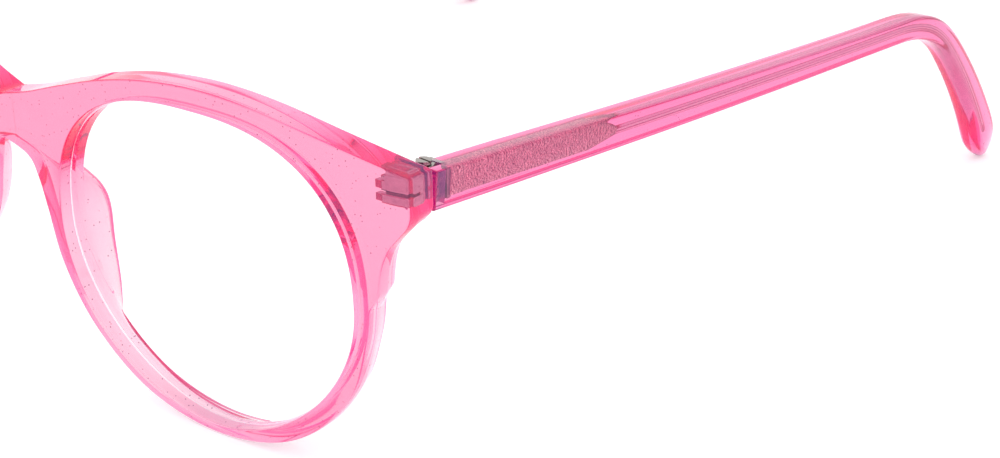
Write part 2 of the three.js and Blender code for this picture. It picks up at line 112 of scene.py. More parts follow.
PAD_MIDDLE = 19.6
PAD_HALF_HEIGHT = 10.6
PAD_REACH = 3.1
PAD_TILT = 0.045
PAD_FULLNESS_ABOVE = 2.3
PAD_FULLNESS_BELOW = 3.0
PAD_ROUNDNESS = 0.8
PAD_REGION = 18.0
PAD_FLARE = 0.52
PAD_CROWN = 2.6

LENS_FRONT = 1.5
LENS_REAR = 2.5
LENS_GAP = 0.06
LENS_CHAMFER = 0.12
LENS_TONGUE = 0.22
LENS_MARGIN = 1.0
LENS_RINGS = (0.15, 0.35, 0.55, 0.75, 0.9)
LENS_STEPS = 160

TEMPLE_START = (64.55, 11.33, 39.65)
TEMPLE_LENGTH = 151.3
TOE_IN = 2.2
TIP_TOE_IN = 7.0
SLOPE = 5.3
SLOPE_EASING = 1.5
DROP = 42.0
TIP_DROP = 14.0
EASE_FROM = 30.0
BEND_FROM = 100.5
BEND_LENGTH = 24.0
TEMPLE_HALF_WIDTH = 1.88
TEMPLE_HEIGHTS = [(0, 4.98), (13, 4.88), (51, 4.18), (93, 3.38), (104, 3.48), (119, 4.08), (144, 6.28)]
TEMPLE_ROUNDING = 0.42
TIP_ROUNDING = 1.42
ROUNDING_FROM = 90
ROUNDING_TO = 140
ROUNDING_LIMIT = 0.95
FRONT_END = 0.12
TIP_ROUND = 6.3
TIP_SCALE_LEAST = 0.06
TIP_FLATNESS = 0.8
STEP_LENGTH = 0.5
STRAIGHT_SPACING = 3.0
BEND_SPACING = 1.2
NOTCH_TO = 2.45
NOTCH_SIDE = 0.32
NOTCH_FLOOR = -2.1
NOTCH_ROUNDING = 0.2

PLATE_FROM = 3.2
PLATE_SHOULDER = 29.0
PLATE_TO = 34.6
PLATE_HALF = 0.5
PLATE_FRONT_HALF = 0.66
PLATE_STEP = 5.4
PLATE_LOW = -1.35
PLATE_HIGH = 1.75
PLATE_EDGE = 0.1
PLATE_STATIONS = (13, 18, 23, 26)
PLATE_POINT = 2.4
PLATE_POINT_STEPS = 6
WIRE_TO = 145.5
WIRE_RADIUS = 0.55
WIRE_END = 0.4
WIRE_STEPS = 60

CURVE_STEPS = 24
SECTION_CORNER_STEPS = 4
ALMOST_HALF = 0.495
SHARP = math.radians(38.0)
WELD = 0.002 * MM
TINY = 1e-9


# --------------------------------------------------------------------- helpers
def smoothstep(value, low, high):
    """An even S from 0 to 1 between two values."""
    t = min(max((value - low) / (high - low), 0.0), 1.0)
    return t * t * (3 - 2 * t)


def between(points, value):
    """Value of a polyline of (position, value) pairs at a position, flat past both ends."""
    if value <= points[0][0]:
        return points[0][1]
    for (a, low), (b, high) in zip(points, points[1:]):
        if value <= b:
            return low + (high - low) * (value - a) / (b - a)
    return points[-1][1]


def catmull(points):
    """A smooth curve through the points, as many short steps."""
    given = [Vector(p) for p in points]
    path = []
    for i in range(len(given) - 1):
        before = given[max(i - 1, 0)]
        start, end = given[i], given[i + 1]
        after = given[min(i + 2, len(given) - 1)]
        for k in range(CURVE_STEPS):
            t = k / CURVE_STEPS
            leave, arrive = (end - before) / 2, (after - start) / 2
            cubic = 2 * start - 2 * end + leave + arrive
            square = -3 * start + 3 * end - 2 * leave - arrive
            path.append(((cubic * t + square) * t + leave) * t + start)
    path.append(given[-1])
    return path


def evenly(path, spacing):
    """The same path with its points an even distance apart."""
    lengths = [0.0]
    for a, b in zip(path, path[1:]):
        lengths.append(lengths[-1] + (b - a).length)
    count = max(round(lengths[-1] / spacing), 1)
    result = []
    k = 0
    for i in range(count + 1):
        target = lengths[-1] * i / count
        while k < len(path) - 2 and lengths[k + 1] < target:
            k += 1
        t = (target - lengths[k]) / max(lengths[k + 1] - lengths[k], TINY)
        result.append(path[k].lerp(path[k + 1], t))
    return result


def rounded_join(before, after):
    """Two runs that meet at a corner, joined by a small curve."""
    corner = after[0]
    start = corner + (before[-2] - corner).normalized() * CORNER
    end = corner + (after[1] - corner).normalized() * CORNER
    bend = [start.lerp(corner, t).lerp(corner.lerp(end, t), t) for t in CORNER_STEPS]
    return before[:-1] + bend + after[1:]


def smooth_object(name, vertices, faces, materials, finishes=None):
    """A mesh object with closed faces facing out, smooth except across sharp edges."""
    mesh = bpy.data.meshes.new(name)
    for material in materials:
        mesh.materials.append(material)
    work = bmesh.new()
    made = [work.verts.new(v) for v in vertices]
    for i, face in enumerate(faces):
        corners = [made[k] for k in face]
        work.faces.new(corners).material_index = finishes[i] if finishes else 0
    bmesh.ops.remove_doubles(work, verts=work.verts, dist=WELD)
    loose = [v for v in work.verts if not v.link_faces]
    bmesh.ops.delete(work, geom=loose, context="VERTS")
    bmesh.ops.recalc_face_normals(work, faces=work.faces)
    for edge in work.edges:
        edge.smooth = not edge.is_manifold or edge.calc_face_angle(0.0) < SHARP
    for face in work.faces:
        face.smooth = True
    work.to_mesh(mesh)
    work.free()
    piece = bpy.data.objects.new(name, mesh)
    bpy.context.scene.collection.objects.link(piece)
    return piece


def mirrored(vertices):
    """The same places on the other side of the middle."""
    return [Vector((-v.x, v.y, v.z)) for v in vertices]


# ---------------------------------------------------------------- front's shape
def front_point(x, depth, height):
    """A point of the flat front, bent round the face, leant forward and put in the CAD frame."""
    depth = depth + SETBACK + x * x / (2 * FACE_RADIUS)
    y = depth * math.cos(FRONT_LEAN) - height * math.sin(FRONT_LEAN)
    z = height * math.cos(FRONT_LEAN) + depth * math.sin(FRONT_LEAN)
    return Vector((x * MM, y * MM + BACKWARD, max(z * MM, 0.0)))


def opening_point(angle, grow=0.0):
    """The lens opening's edge at an angle round its centre, on the flat front."""
    across, along = math.cos(angle), math.sin(angle)
    power = OPENING_POWER_UPPER if along > 0 else OPENING_POWER_LOWER
    half_width = (OPENING_TEMPORAL if across > 0 else OPENING_NASAL) + grow
    half_height = (OPENING_UP if along > 0 else OPENING_DOWN) + grow
    total = abs(across / half_width) ** power + abs(along / half_height) ** power
    reach = total ** (-1 / power)
    return Vector((OPENING_X + reach * across, OPENING_HEIGHT + reach * along))


def outline():
    """The left half's boundary as rings: place, inward direction, and whether it lies on the middle."""
    runs = [
        evenly(catmull(run), OUTLINE_SPACING)
        for run in (BROW_RUN, SIDE_RUN, END_RUN, STEP_RUN, RIM_RUN)
    ]
    path = runs[0]
    for run in runs[1:]:
        path = rounded_join(path, run)
    rings = []
    for i, place in enumerate(path):
        before = path[max(i - 1, 0)]
        after = path[min(i + 1, len(path) - 1)]
        along = (after - before).normalized()
        rings.append((place, Vector((along.y, -along.x)), False))
    rings[0] = (path[0], Vector((0, -1)), False)
    rings[-1] = (path[-1], Vector((0, 1)), False)
    low, high = BRIDGE_UNDERSIDE + 2 * EDGE, BRIDGE_TOP - 2 * EDGE
    for k in range(MIDDLE_STEPS + 1):
        rings.append((Vector((0, low + (high - low) * k / MIDDLE_STEPS)), Vector((1, 0)), True))
    return rings


def ring_angles(rings):
    """One angle round the opening for each ring, evened out so that no two crowd together."""
    centre = Vector((OPENING_X, OPENING_HEIGHT))
    angles = []
    for place, _, _ in rings:
        toward = place - centre
        angle = math.atan2(toward.y, toward.x)
        while angles and angle > angles[-1] + math.pi:
            angle -= 2 * math.pi
        angles.append(angle)
    turn = 2 * math.pi
    for _ in range(ANGLE_PASSES):
        wrapped = [angles[-1] + turn] + angles + [angles[0] - turn]
        angles = [(wrapped[i] + wrapped[i + 1] + wrapped[i + 2]) / 3 for i in range(len(angles))]
    return angles


def pad_bulge(place):
    """How far the nose pad stands behind the rim, for one ring of the front."""
    if place.x > PAD_REGION or place.y > BRIDGE_UNDERSIDE:
        return 0.0
    above = place.y - PAD_MIDDLE
    out = abs(above / PAD_HALF_HEIGHT)
    fullness = PAD_FULLNESS_ABOVE if above > 0 else PAD_FULLNESS_BELOW
    return PAD_REACH * (1 + PAD_TILT * above) * max(1 - out**fullness, 0.0) ** PAD_ROUNDNESS


def rear_inset(place):
    """How far the rear edge of the lower rim is bevelled inwards."""
    fade = smoothstep(REAR_INSET_TOP - place.y, 0.0, REAR_INSET_FADE)
    bridge = smoothstep(place.x, REAR_INSET_FROM_X, REAR_INSET_FULL_X)
    return REAR_INSET * fade * bridge * max(1 - pad_bulge(place) / PAD_REACH, 0.0)


def inner_bevel(place):
    """How far the opening's rear edge is bevelled, along the lower rim."""
    return INNER_BEVEL * smoothstep(INNER_BEVEL_TOP - place.y, 0.0, INNER_BEVEL_FADE)


def ring_section(angle, ring):
    """One closed section through the rim: (flat place, depth) pairs, and which are outer wall."""
    place, inward, on_middle = ring
    bulge = pad_bulge(place)
    inset = rear_inset(place)

    def outer(inside):
        if on_middle:
            return place + inward * max(inside - EDGE, 0.0)
        return place + inward * inside

    section = []
    inner_edge, outer_edge = opening_point(angle, SUPPORT), outer(SUPPORT)
    section.append((opening_point(angle, EDGE), 0.0))
    section += [(inner_edge.lerp(outer_edge, u), 0.0) for u in FACE_STEPS]
    section.append((outer(EDGE), 0.0))
    first_outer = len(section)
    for a in QUARTER:
        section.append((outer(EDGE * (1 - math.sin(a))), EDGE * (1 - math.cos(a))))
    section.append((outer(0.0), SUPPORT))
    section.append((outer(0.0), WALL_KNEE))
    section.append((outer(inset * REAR_INSET_EASE), WALL_KNEE + WALL_KNEE_SPAN))
    section.append((outer(inset * (1 - REAR_INSET_EASE)), THICKNESS - SUPPORT))
    rear_edge = EDGE * max(1 - bulge / PAD_REACH, 0.0) + REAR_EDGE_LEAST
    for a in QUARTER[::-1]:
        section.append((
            outer(inset + rear_edge * (1 - math.sin(a))), THICKNESS - rear_edge * (1 - math.cos(a)),
        ))
    last_outer = len(section)
    bevel = inner_bevel(opening_point(angle))
    rear_outer, rear_inner = outer(inset + rear_edge), opening_point(angle, rear_edge + bevel)
    for k in range(REAR_STEPS + 1):
        u = (1 - math.cos(math.pi * k / REAR_STEPS)) / 2
        crown = max(1 - abs(2 * u - 1) ** PAD_CROWN, 0.0) ** (1 / PAD_CROWN)
        point = rear_outer.lerp(rear_inner, u)
        point.x += PAD_FLARE * bulge * crown
        section.append((point, THICKNESS + bulge * crown))
    for a in QUARTER[:-1]:
        section.append((
            opening_point(angle, rear_edge * (1 - math.sin(a)) + bevel * (1 - math.sin(a) ** 2)),
            THICKNESS - rear_edge * (1 - math.cos(a)) - bevel * math.sin(a) ** 2,
        ))
    groove = (
        (0, THICKNESS - SUPPORT - bevel),
        (0, GROOVE_REAR),
        (GROOVE_DEPTH, GROOVE_REAR - GROOVE_DEPTH),
        (GROOVE_DEPTH, GROOVE_FRONT + GROOVE_DEPTH),
        (0, GROOVE_FRONT),
        (0, SUPPORT),
    )
    section += [(opening_point(angle, grow), depth) for grow, depth in groove]
    for a in QUARTER[::-1]:
        section.append((opening_point(angle, EDGE * (1 - math.sin(a))), EDGE * (1 - math.cos(a))))
    return section, first_outer, last_outer


def front_mesh():
    """Vertices and faces of the whole front: both halves, meeting at the middle."""
    rings = outline()
    angles = ring_angles(rings)
    vertices, faces = [], []
    size = 0
    for angle, ring in zip(angles, rings):
        section, first_outer, last_outer = ring_section(angle, ring)
        size = len(section)
        vertices += [front_point(place.x, depth, place.y) for place, depth in section]
    count = len(rings)
    for i in range(count):
        after = (i + 1) % count
        open_side = rings[i][2] or rings[after][2]
        for k in range(size):
            if open_side and first_outer - 1 <= k < last_outer:
                continue
            onward = (k + 1) % size
            faces.append((i * size + k, i * size + onward, after * size + onward, after * size + k))
    other = [tuple(index + len(vertices) for index in reversed(face)) for face in faces]
    return vertices + mirrored(vertices), faces + other


def lens_mesh(side):
    """A lens: two polished faces, and an edge in the groove with a ground front bevel."""
    rim = [
        (-LENS_MARGIN, LENS_FRONT),
        (-LENS_CHAMFER - LENS_GAP, LENS_FRONT),
        (-LENS_GAP, LENS_FRONT + LENS_CHAMFER),
        (LENS_TONGUE, (LENS_FRONT + LENS_REAR) / 2),
        (-LENS_GAP, LENS_REAR - LENS_CHAMFER),
        (-LENS_CHAMFER - LENS_GAP, LENS_REAR),
        (-LENS_MARGIN, LENS_REAR),
    ]
    centre = Vector((OPENING_X, OPENING_HEIGHT))
    profile = [("inside", share, LENS_FRONT) for share in LENS_RINGS]
    profile += [("edge", grow, depth) for grow, depth in rim]
    profile += [("inside", share, LENS_REAR) for share in reversed(LENS_RINGS)]
    vertices = []
    for i in range(LENS_STEPS):
        angle = 2 * math.pi * i / LENS_STEPS
        for kind, amount, depth in profile:
            flat = opening_point(angle, amount if kind == "edge" else -LENS_MARGIN)
            if kind == "inside":
                flat = centre.lerp(flat, amount)
            vertices.append(front_point(side * flat.x, depth, flat.y))
    size = len(profile)
    ground = len(LENS_RINGS) + 1
    faces, finishes = [], []
    for i in range(LENS_STEPS):
        after = (i + 1) % LENS_STEPS
        for k in range(size - 1):
            faces.append((i * size + k, i * size + k + 1, after * size + k + 1, after * size + k))
            finishes.append(1 if k in (ground, ground + 1) else 0)
    for k, depth in ((0, LENS_FRONT), (size - 1, LENS_REAR)):
        vertices.append(front_point(side * centre.x, depth, centre.y))
        for i in range(LENS_STEPS):
            faces.append((len(vertices) - 1, i * size + k, (i + 1) % LENS_STEPS * size + k))
            finishes.append(0)
    return vertices, faces, finishes


# --------------------------------------------------------------- temple's shape
def centre_line():
    """The temple's path: at each short step a place, a heading, and outward and upward directions."""
    stations = []
    place = Vector(TEMPLE_START)
    for i in range(int(TEMPLE_LENGTH / STEP_LENGTH) + 3):
        s = i * STEP_LENGTH
        bend = smoothstep(s, BEND_FROM, BEND_FROM + BEND_LENGTH)
        ease = min(max((s - EASE_FROM) / (BEND_FROM - EASE_FROM), 0.0), 1.0)
        tip = min(max((s - BEND_FROM - BEND_LENGTH) / BEND_LENGTH, 0.0), 1.0)
        slope = math.radians(SLOPE - SLOPE_EASING * ease + DROP * bend + TIP_DROP * tip)
        toe_in = math.radians(TOE_IN + (TIP_TOE_IN - TOE_IN) * bend)
        level = math.cos(slope)
        heading = Vector((-math.sin(toe_in) * level, math.cos(toe_in) * level, -math.sin(slope)))
        outward = Vector((math.cos(toe_in), math.sin(toe_in), 0))
        stations.append((place.copy(), heading, outward, outward.cross(heading)))
        place += heading * STEP_LENGTH
    return stations


PATH = centre_line()


def along_temple(s, outward, upward):
    """A point beside the temple's path, in the CAD frame."""
    index = min(max(s, 0.0), TEMPLE_LENGTH) / STEP_LENGTH
    low = int(index)
    t = index - low
    first, second = PATH[low], PATH[low + 1]
    place, heading, out, up = (a.lerp(b, t) for a, b in zip(first, second))
    point = place + out.normalized() * outward + up.normalized() * upward
    if s < 0 or s > TEMPLE_LENGTH:
        point += heading * (s - index * STEP_LENGTH)
    return Vector((point.x * MM, point.y * MM + BACKWARD, max(point.z * MM, 0.0)))


def rounded_section(left, right, low, high, rounding):
    """A rectangle with round corners: (outward, upward) points."""
    points = []
    rounding = min(rounding, ALMOST_HALF * (right - left), ALMOST_HALF * (high - low))
    corners = ((right, high, 0), (left, high, 90), (left, low, 180), (right, low, 270))
    for x, y, start in corners:
        centre_x = x - rounding if x == right else x + rounding
        centre_y = y - rounding if y == high else y + rounding
        for k in range(SECTION_CORNER_STEPS + 1):
            angle = math.radians(start + 90 * k / SECTION_CORNER_STEPS)
            points.append((centre_x + rounding * math.cos(angle), centre_y + rounding * math.sin(angle)))
    return points


def loft(sections):
    """Closed mesh through (distance, points) sections along the temple, capped at both ends."""
    size = len(sections[0][1])
    vertices = [along_temple(s, x, y) for s, points in sections for x, y in points]
    faces = []
    for i in range(len(sections) - 1):
        for k in range(size):
            onward = (k + 1) % size
            faces.append((i * size + k, i * size + onward, (i + 1) * size + onward, (i + 1) * size + k))
    faces.append(tuple(reversed(range(size))))
    last = (len(sections) - 1) * size
    faces.append(tuple(range(last, last + size)))
    return vertices, faces


def temple_distances():
    """Where the arm's sections stand: close together at the hinge, the bend and the rounded tip."""
    hinge = [0.0, FRONT_END, 1.0, 2.0, 3.0, NOTCH_TO, NOTCH_TO + 0.1]
    straight = [5.0 + STRAIGHT_SPACING * i for i in range(31)]
    bend_count = int((TEMPLE_LENGTH - TIP_ROUND - BEND_FROM) / BEND_SPACING) + 1
    bend = [BEND_FROM + BEND_SPACING * i for i in range(bend_count)]
    rounds = [math.radians(6 * i) for i in range(15)]
    tip = [TEMPLE_LENGTH - TIP_ROUND * (1 - math.sin(a)) for a in rounds]
    return sorted(set(s for s in hinge + straight + bend + tip if s <= TEMPLE_LENGTH))


def temple_section(s, notched):
    """The arm's section at a distance: slim at the hinge, soft-edged and broader at the tip."""
    into = min(max((s - TEMPLE_LENGTH + TIP_ROUND) / TIP_ROUND, 0.0), 1.0)
    scale = max(math.sqrt(1 - into * into), TIP_SCALE_LEAST)
    half_height = between(TEMPLE_HEIGHTS, s) / 2 * scale
    half_width = TEMPLE_HALF_WIDTH * scale**TIP_FLATNESS
    softness = smoothstep(s, ROUNDING_FROM, ROUNDING_TO)
    rounding = min(
        TEMPLE_ROUNDING + (TIP_ROUNDING - TEMPLE_ROUNDING) * softness,
        half_width * ROUNDING_LIMIT,
        half_height * ROUNDING_LIMIT,
    )
    if s < FRONT_END:
        half_height -= FRONT_END
        half_width -= FRONT_END
    whole = rounded_section(-half_width, half_width, -half_height, half_height, rounding)
    if not notched:
        return whole
    foot = len(whole) // 2
    slot = rounded_section(NOTCH_SIDE, half_width, -half_height, half_height, NOTCH_ROUNDING)
    return slot[:foot] + [(NOTCH_SIDE, NOTCH_FLOOR), (-half_width, NOTCH_FLOOR)] + whole[foot + 2:]


def temple_mesh():
    """The arm, with an L-shaped notch for the hinge at its front and a floor under the notch."""
    sections = []
    for s in temple_distances():
        notched = s <= NOTCH_TO
        sections.append((s, temple_section(s, notched)))
        if s == NOTCH_TO:
            closing = temple_section(s, False)
            foot = len(closing) // 2
            closing[foot] = closing[foot + 1] = (-TEMPLE_HALF_WIDTH, NOTCH_FLOOR)
            sections.append((s, closing))
    return loft(sections)


def core_mesh():
    """The metal core: a pressed flat plate with a pointed rear end, then a smooth wire."""
    sections = []
    front_stations = (PLATE_FROM, PLATE_FROM + PLATE_EDGE, PLATE_STEP, PLATE_STEP + PLATE_EDGE)
    for s in (*front_stations, *PLATE_STATIONS, PLATE_SHOULDER):
        shrink = PLATE_EDGE if s == PLATE_FROM else 0.0
        half = (PLATE_FRONT_HALF if s <= PLATE_STEP else PLATE_HALF) - shrink
        plate = rounded_section(-half, half, PLATE_LOW + shrink, PLATE_HIGH - shrink, PLATE_EDGE)
        sections.append((s, plate))
    for k in range(1, PLATE_POINT_STEPS + 1):
        t = k / PLATE_POINT_STEPS
        low = PLATE_LOW + (-WIRE_RADIUS - PLATE_LOW) * t
        high = PLATE_HIGH + (WIRE_RADIUS - PLATE_HIGH) * t**PLATE_POINT
        half = PLATE_HALF + (WIRE_RADIUS - PLATE_HALF) * t
        rounding = PLATE_EDGE + (WIRE_RADIUS - PLATE_EDGE) * t
        sections.append((
            PLATE_SHOULDER + (PLATE_TO - PLATE_SHOULDER) * t,
            rounded_section(-half, half, low, high, rounding),
        ))
    textured = len(sections) - 1
    wire = rounded_section(-WIRE_RADIUS, WIRE_RADIUS, -WIRE_RADIUS, WIRE_RADIUS, WIRE_RADIUS)
    for k in range(1, WIRE_STEPS + 1):
        sections.append((PLATE_TO + (WIRE_TO - WIRE_END - PLATE_TO) * k / WIRE_STEPS, wire))
    sections.append((WIRE_TO, [(x / 2, y / 2) for x, y in wire]))
    vertices, faces = loft(sections)
    finishes = [0 if i < textured * len(wire) else 1 for i in range(len(faces))]
    return vertices, faces, finishes


# -------------------------------------------------------------------- materials
# Colours are linear RGB, grain scales are per metre, and relief is in metres.
LENS_EDGE_GRAIN = 2200.0
LENS_EDGE_DARK = (1.0, 0.94, 0.96)
LENS_EDGE_LIGHT = (1.0, 0.99, 1.0)
LENS_EDGE_ROUGHNESS = 0.6
# Painted light: the ground edge glows pink, standing for light piped through the lens.
LENS_EDGE_PAINTED_LIGHT_COLOUR = (1.0, 0.82, 0.9)
LENS_EDGE_PAINTED_LIGHT = 0.4

ACETATE_IOR = 1.49
# Painted light: a weak pink emission on all acetate that stands for light scattered inside the material.
ACETATE_PAINTED_LIGHT = 0.06
ACETATE_PAINTED_LIGHT_COLOUR = (0.75, 0.02, 0.9)
ACETATE_ABSORB = (0.975, 0.215, 0.52)
ACETATE_DENSITY = 285.0
ACETATE_SPECK = 0.08
TEMPLE_ABSORB = (0.965, 0.2, 0.6)
TEMPLE_DENSITY = 405.0
TEMPLE_SPECK = 0.07
SPECKS_PER_METRE = 1000.0
SPECK_CORE = (0.10, 0.06, 0.08)
SPECK_RIM = (0.18, 0.11, 0.14)
SPECK_CLEAR = (1.0, 0.985, 0.99)
SPECK_FADE = 1.4
HAZE_SCALE = 180.0
HAZE_DARK = (0.875, 0.80, 0.74)
HAZE_LIGHT = (0.905, 0.84, 0.77)
POLISH_SCALE = 900.0
POLISH_ROUGHNESS = 0.035

LENS_IOR = 1.02
LENS_COAT = 0.25
LENS_COAT_IOR = 1.45
LENS_CLOUD_SCALE = 60.0
LENS_TINT = (0.992, 0.993, 1.0)
LENS_CLEAR = (1.0, 1.0, 1.0)

METAL_GRAIN = 1400.0
GRAIN_LOW = 0.3
GRAIN_HIGH = 0.7
GLOSS_SPREAD = 0.2
RELIEF_STRETCH = 0.62
BARE_FROM = PIVOT.y - 1.7 * MM
BARE_FADE = 0.3 * MM


def new_material(name):
    material = bpy.data.materials.new(name)
    material.use_nodes = True
    tree = material.node_tree
    return material, tree, tree.nodes["Principled BSDF"]


def node(tree, kind, **inputs):
    made = tree.nodes.new(kind)
    for key, value in inputs.items():
        made.inputs[key.replace("_", " ")].default_value = value
    return made


def colour_ramp(tree, factor, stops):
    ramp = tree.nodes.new("ShaderNodeValToRGB")
    elements = ramp.color_ramp.elements
    while len(elements) < len(stops):
        elements.new(0.5)
    for element, (position, colour) in zip(elements, stops):
        element.position = position
        element.color = (*colour, 1)
    tree.links.new(factor, ramp.inputs["Fac"])
    return ramp.outputs["Color"]


def graded(tree, texture, dark, light):
    """A colour that follows a texture's value."""
    return colour_ramp(tree, texture.outputs["Fac"], [(GRAIN_LOW, dark), (GRAIN_HIGH, light)])


def ground_edge(name):
    """The lens's ground bevel: matt, with painted light, a pink emission that stands for the light the
    lens pipes to its edge.
    """
    material, tree, shader = new_material(name)
    place = tree.nodes.new("ShaderNodeTexCoord").outputs["Object"]
    grain = node(tree, "ShaderNodeTexNoise", Scale=LENS_EDGE_GRAIN, Detail=3.0)
    tree.links.new(place, grain.inputs["Vector"])
    tone = graded(tree, grain, LENS_EDGE_DARK, LENS_EDGE_LIGHT)
    tree.links.new(tone, shader.inputs["Base Color"])
    shader.inputs["Roughness"].default_value = LENS_EDGE_ROUGHNESS
    # Painted light: a pink emission standing for the light the lens pipes to its edge.
    shader.inputs["Emission Color"].default_value = (*LENS_EDGE_PAINTED_LIGHT_COLOUR, 1)
    shader.inputs["Emission Strength"].default_value = LENS_EDGE_PAINTED_LIGHT
    return material


def acetate(name, absorb, density, speck_size):
    """Clear tinted acetate with faint cloudiness, uneven polish, tiny dark specks and a weak painted
    glow, an emission that stands for light scattered in the material.
    """
    material, tree, shader = new_material(name)
    shader.inputs["Transmission Weight"].default_value = 1.0
    shader.inputs["IOR"].default_value = ACETATE_IOR
    # Painted light: the acetate glows a little, standing for light scattered in it.
    shader.inputs["Emission Color"].default_value = (*ACETATE_PAINTED_LIGHT_COLOUR, 1)
    shader.inputs["Emission Strength"].default_value = ACETATE_PAINTED_LIGHT
    place = tree.nodes.new("ShaderNodeTexCoord").outputs["Object"]
    specks = node(tree, "ShaderNodeTexVoronoi", Scale=SPECKS_PER_METRE, Randomness=1.0)
    tree.links.new(place, specks.inputs["Vector"])
    spots = colour_ramp(tree, specks.outputs["Distance"], [
        (0.0, SPECK_CORE), (speck_size, SPECK_RIM), (speck_size * SPECK_FADE, SPECK_CLEAR),
    ])
    cloud = node(tree, "ShaderNodeTexNoise", Scale=HAZE_SCALE, Detail=3.0, Roughness=0.55)
    tree.links.new(place, cloud.inputs["Vector"])
    haze = graded(tree, cloud, HAZE_DARK, HAZE_LIGHT)
    mix = tree.nodes.new("ShaderNodeMix")
    mix.data_type = "RGBA"
    mix.blend_type = "MULTIPLY"
    mix.inputs["Factor"].default_value = 1.0
    tree.links.new(spots, mix.inputs["A"])
    tree.links.new(haze, mix.inputs["B"])
    tree.links.new(mix.outputs["Result"], shader.inputs["Base Color"])
    polish = node(tree, "ShaderNodeTexNoise", Scale=POLISH_SCALE, Detail=2.0)
    tree.links.new(place, polish.inputs["Vector"])
    sheen = tree.nodes.new("ShaderNodeMapRange")
    sheen.inputs["To Min"].default_value = 0.0
    sheen.inputs["To Max"].default_value = POLISH_ROUGHNESS
    tree.links.new(polish.outputs["Fac"], sheen.inputs["Value"])
    tree.links.new(sheen.outputs["Result"], shader.inputs["Roughness"])
    volume = tree.nodes.new("ShaderNodeVolumeAbsorption")
    volume.inputs["Color"].default_value = (*absorb, 1)
    volume.inputs["Density"].default_value = density
    tree.links.new(volume.outputs["Volume"], tree.nodes["Material Output"].inputs["Volume"])
    return material


def coated_lens(name):
    """Clear lens plastic with a faint cloud in its tint; the low index stands for its coating."""
    material, tree, shader = new_material(name)
    shader.inputs["Transmission Weight"].default_value = 1.0
    shader.inputs["IOR"].default_value = LENS_IOR
    shader.inputs["Coat Weight"].default_value = LENS_COAT
    shader.inputs["Coat IOR"].default_value = LENS_COAT_IOR
    place = tree.nodes.new("ShaderNodeTexCoord").outputs["Object"]
    cloud = node(tree, "ShaderNodeTexNoise", Scale=LENS_CLOUD_SCALE, Detail=2.0)
    tree.links.new(place, cloud.inputs["Vector"])
    tint = graded(tree, cloud, LENS_TINT, LENS_CLEAR)
    tree.links.new(tint, shader.inputs["Base Color"])
    shader.inputs["Roughness"].default_value = 0.0
    return material


def bare_behind(tree, place, tone, bare):
    """Gives the metal its bare colour from the knuckles backward, and leaves the anchors' painted pink,
    which stands for the pink light that reaches them through the acetate.
    """
    split = tree.nodes.new("ShaderNodeSeparateXYZ")
    tree.links.new(place, split.inputs["Vector"])
    spread = tree.nodes.new("ShaderNodeMapRange")
    spread.inputs["From Min"].default_value = BARE_FROM
    spread.inputs["From Max"].default_value = BARE_FROM + BARE_FADE
    tree.links.new(split.outputs["Y"], spread.inputs["Value"])
    mix = tree.nodes.new("ShaderNodeMix")
    mix.data_type = "RGBA"
    tree.links.new(spread.outputs["Result"], mix.inputs["Factor"])
    tree.links.new(tone, mix.inputs["A"])
    mix.inputs["B"].default_value = (*bare, 1)
    return mix.outputs["Result"]


def metal(name, light, dark, roughness, relief, relief_scale, bare=None):
    """Nickel silver: fine grain in its colour and roughness, and a pressed or brushed relief."""
    material, tree, shader = new_material(name)
    shader.inputs["Metallic"].default_value = 1.0
    place = tree.nodes.new("ShaderNodeTexCoord").outputs["Object"]
    grain = node(tree, "ShaderNodeTexNoise", Scale=METAL_GRAIN, Detail=4.0, Roughness=0.6)
    tree.links.new(place, grain.inputs["Vector"])
    tone = graded(tree, grain, dark, light)
    if bare:
        tone = bare_behind(tree, place, tone, bare)
    tree.links.new(tone, shader.inputs["Base Color"])
    gloss = tree.nodes.new("ShaderNodeMapRange")
    gloss.inputs["To Min"].default_value = roughness * (1 - GLOSS_SPREAD)
    gloss.inputs["To Max"].default_value = roughness * (1 + GLOSS_SPREAD)
    tree.links.new(grain.outputs["Fac"], gloss.inputs["Value"])
    tree.links.new(gloss.outputs["Result"], shader.inputs["Roughness"])
    stretch = node(tree, "ShaderNodeMapping", Scale=(1.0, RELIEF_STRETCH, 1.0))
    tree.links.new(place, stretch.inputs["Vector"])
    pits = node(tree, "ShaderNodeTexNoise", Scale=relief_scale, Detail=2.0, Roughness=0.5)
    tree.links.new(stretch.outputs["Vector"], pits.inputs["Vector"])
    bump = node(tree, "ShaderNodeBump", Strength=1.0, Distance=relief)
    tree.links.new(pits.outputs["Fac"], bump.inputs["Height"])
    tree.links.new(bump.outputs["Normal"], shader.inputs["Normal"])
    return material


# ----------------------------------------------------------------------- pieces
front_acetate = acetate("front_acetate", ACETATE_ABSORB, ACETATE_DENSITY, ACETATE_SPECK)
temple_acetate = acetate("temple_acetate", TEMPLE_ABSORB, TEMPLE_DENSITY, TEMPLE_SPECK)
lens_clear = coated_lens("lens_clear")
lens_edge = ground_edge("lens_edge")
# The hinge's pink tones are painted: they stand for the pink light the anchors get through the acetate;
# the bare grey is the metal's own colour.
hinge_metal = metal(
    "hinge_metal", light=(0.60, 0.38, 0.44), dark=(0.46, 0.28, 0.34), roughness=0.24,
    relief=0.00002, relief_scale=2600.0, bare=(0.38, 0.35, 0.33),
)
core_metal = metal(
    "core_metal", light=(0.92, 0.84, 0.72), dark=(0.60, 0.53, 0.46), roughness=0.18,
    relief=0.00028, relief_scale=4600.0,
)
wire_metal = metal(
    "wire_metal", light=(0.78, 0.73, 0.73), dark=(0.70, 0.65, 0.65), roughness=0.12,
    relief=0.000004, relief_scale=2600.0,
)


